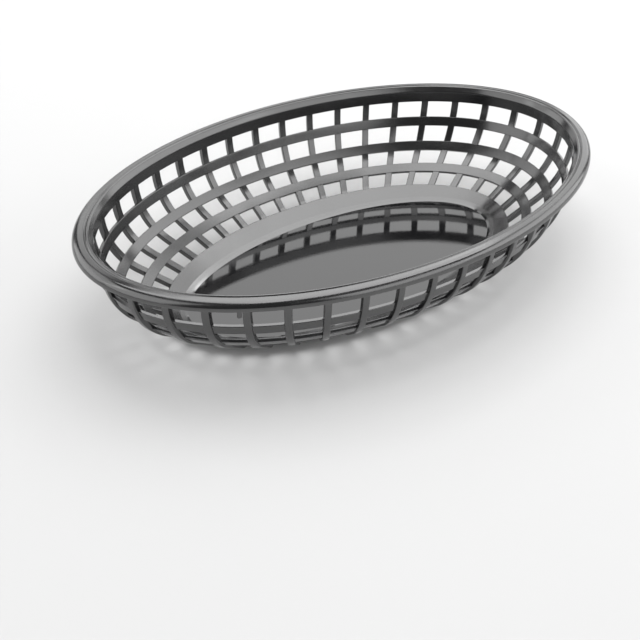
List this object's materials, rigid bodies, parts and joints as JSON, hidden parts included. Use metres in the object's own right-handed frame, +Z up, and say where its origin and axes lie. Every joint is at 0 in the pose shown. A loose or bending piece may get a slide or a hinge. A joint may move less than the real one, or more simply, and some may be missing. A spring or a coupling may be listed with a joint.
{
  "type": "fast food basket",
  "caption": "Shallow oval food basket moulded in one piece, with a rolled rim, an open wall of upright ribs and level hoops, and a flat solid floor.",
  "frame": {"origin": "centre of the floor's flat underside, on the surface that the basket stands on", "axes": "+Z up through the open top, +X along the long axis of the oval, +Y across it"},
  "size_m": [0.238, 0.146, 0.0445],
  "materials": {
    "black_polypropylene": "glossy moulded black, smoothest on the floor"
  },
  "bodies": {
    "root": {"basket": "black_polypropylene"}
  },
  "joints": []
}
